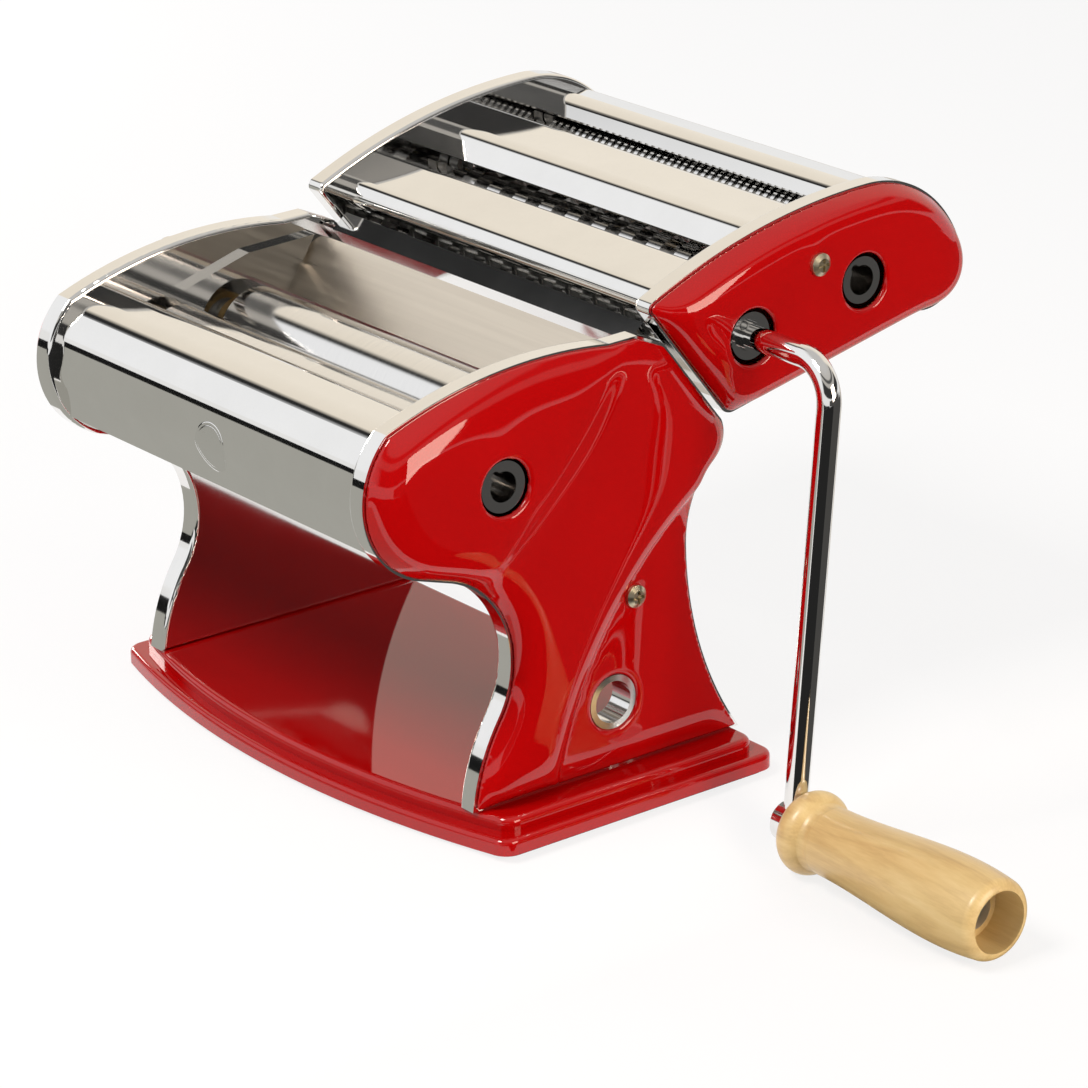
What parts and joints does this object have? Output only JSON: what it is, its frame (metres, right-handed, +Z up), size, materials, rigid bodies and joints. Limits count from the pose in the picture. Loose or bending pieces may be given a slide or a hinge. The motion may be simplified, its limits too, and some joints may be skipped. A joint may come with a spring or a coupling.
{
  "type": "pasta roller machine",
  "caption": "Hand-cranked pasta machine with smooth sheet rollers, a thickness knob, a lift-off double cutter and a turned wooden crank handle on a bowed base.",
  "frame": {"origin": "centre of the foot pad's footprint, on the table plane", "axes": "+X along the rollers towards the crank, +Y from the front guard to the cutter, +Z up"},
  "size_m": [0.3461, 0.2336, 0.1945],
  "materials": {
    "red_enamel": "high gloss stoved enamel",
    "chrome": "mirror plated",
    "steel": "plain turned",
    "screws": "yellow passivated",
    "bearing": "turned",
    "comb": "stamped",
    "wood": "lacquered beech",
    "rubber": "matte"
  },
  "bodies": {
    "machine": {"base": "red_enamel", "base_pad": "rubber", "base_screws": "screws", "left_plate": "chrome", "right_plate": "chrome", "left_cover": "red_enamel", "right_cover": "red_enamel", "main_cover_screws": "screws", "front_guard": "chrome", "feed_plate": "chrome", "feed_guides": "chrome", "tie_rods": "steel", "front_scraper": "steel", "rear_scraper": "steel", "rear_bracket": "chrome", "roller_bushes": "bearing", "axle_bushes": "bearing", "clamp_bush": "chrome", "index_ring": "chrome"},
    "driven_roller": {"front_roller": "chrome", "front_roller_gear": "steel"},
    "adjuster": {"eccentric_axle": "steel", "thickness_knob": "chrome", "knob_screw": "screws", "stop_pin": "steel"},
    "roller_carrier": {"rear_roller_bushes": "bearing"},
    "adjustable_roller": {"rear_roller": "chrome", "rear_roller_gear": "steel"},
    "cutter": {"cutter_left_plate": "chrome", "cutter_right_plate": "chrome", "cutter_left_cover": "red_enamel", "cutter_right_cover": "red_enamel", "cutter_cover_screws": "screws", "cutter_tie_rods": "steel", "cutter_hanger": "chrome", "cutter_front_guard": "chrome", "cutter_middle_guard": "chrome", "cutter_rear_guard": "chrome", "cutter_bushes": "bearing", "wide_combs": "comb", "narrow_combs": "comb"},
    "wide_drive": {"wide_drive_roller": "chrome", "wide_drive_gear": "steel"},
    "wide_follow": {"wide_follow_roller": "chrome", "wide_follow_gear": "steel"},
    "narrow_drive": {"narrow_drive_roller": "chrome", "narrow_drive_gear": "steel"},
    "narrow_follow": {"narrow_follow_roller": "chrome", "narrow_follow_gear": "steel"},
    "crank": {"crank_rod": "chrome", "grip_spindle": "steel"},
    "grip": {"handle_grip": "wood"}
  },
  "joints": [
    {"name": "roller_drive", "type": "hinge", "parent": "machine", "child": "driven_roller", "pos_m": [0, -0.0465, 0.1153], "axis": [1, 0, 0], "continuous": true},
    {"name": "thickness_turn", "type": "hinge", "parent": "machine", "child": "adjuster", "pos_m": [0, -0.01715, 0.11405], "axis": [1, 0, 0], "range_deg": [0, 90]},
    {"name": "carrier_turn", "type": "hinge", "parent": "adjuster", "child": "roller_carrier", "pos_m": [0, -0.0161, 0.1151], "axis": [1, 0, 0], "range_deg": [-90, 0]},
    {"name": "rear_roller_spin", "type": "hinge", "parent": "roller_carrier", "child": "adjustable_roller", "pos_m": [0, -0.0161, 0.1151], "axis": [1, 0, 0], "continuous": true},
    {"name": "cutter_lift", "type": "slide", "parent": "machine", "child": "cutter", "axis": [0, -0.6157, 0.788], "range_m": [0, 0.05]},
    {"name": "wide_cutter_drive", "type": "hinge", "parent": "cutter", "child": "wide_drive", "pos_m": [0, 0.0491, 0.1408], "axis": [1, 0, 0], "continuous": true},
    {"name": "wide_cutter_follow", "type": "hinge", "parent": "cutter", "child": "wide_follow", "pos_m": [0, 0.06759, 0.14517], "axis": [1, 0, 0], "continuous": true},
    {"name": "narrow_cutter_drive", "type": "hinge", "parent": "cutter", "child": "narrow_drive", "pos_m": [0, 0.0939, 0.1492], "axis": [1, 0, 0], "continuous": true},
    {"name": "narrow_cutter_follow", "type": "hinge", "parent": "cutter", "child": "narrow_follow", "pos_m": [0, 0.11239, 0.15357], "axis": [1, 0, 0], "continuous": true},
    {"name": "crank_pull", "type": "slide", "parent": "wide_drive", "child": "crank", "axis": [1, 0, 0], "range_m": [0, 0.03]},
    {"name": "grip_spin", "type": "hinge", "parent": "crank", "child": "grip", "pos_m": [0, 0.03545, -0.00356], "axis": [1, 0, 0], "continuous": true}
  ],
  "couplings": [
    {"joint": "rear_roller_spin", "follows": "roller_drive", "ratio": -1},
    {"joint": "carrier_turn", "follows": "thickness_turn", "ratio": -1},
    {"joint": "wide_cutter_follow", "follows": "wide_cutter_drive", "ratio": -1},
    {"joint": "narrow_cutter_follow", "follows": "narrow_cutter_drive", "ratio": -1}
  ]
}
